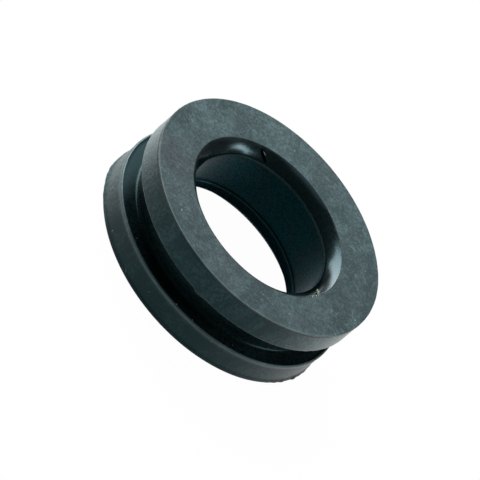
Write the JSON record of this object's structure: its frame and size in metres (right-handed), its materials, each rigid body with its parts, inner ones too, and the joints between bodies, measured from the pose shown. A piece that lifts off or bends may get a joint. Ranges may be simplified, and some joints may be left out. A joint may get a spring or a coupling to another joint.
{
  "type": "valve cover gasket",
  "caption": "Moulded rubber seal ring with flanges and a deep groove for the rim of a hole in a cover, and a bore that seals round a tube.",
  "frame": {"origin": "centre of the back flange's flat face, which the ring stands on", "axes": "+Z along the ring's axis, from the back flange to the front flange; the ring is round, so X and Y are free"},
  "size_m": [0.0405, 0.0404, 0.0125],
  "materials": {
    "black_rubber": "moulded black rubber, dull, with a grey bloom on the front face and a slight sheen on the rounded edges"
  },
  "bodies": {
    "root": {"seal_ring": "black_rubber"}
  },
  "joints": []
}
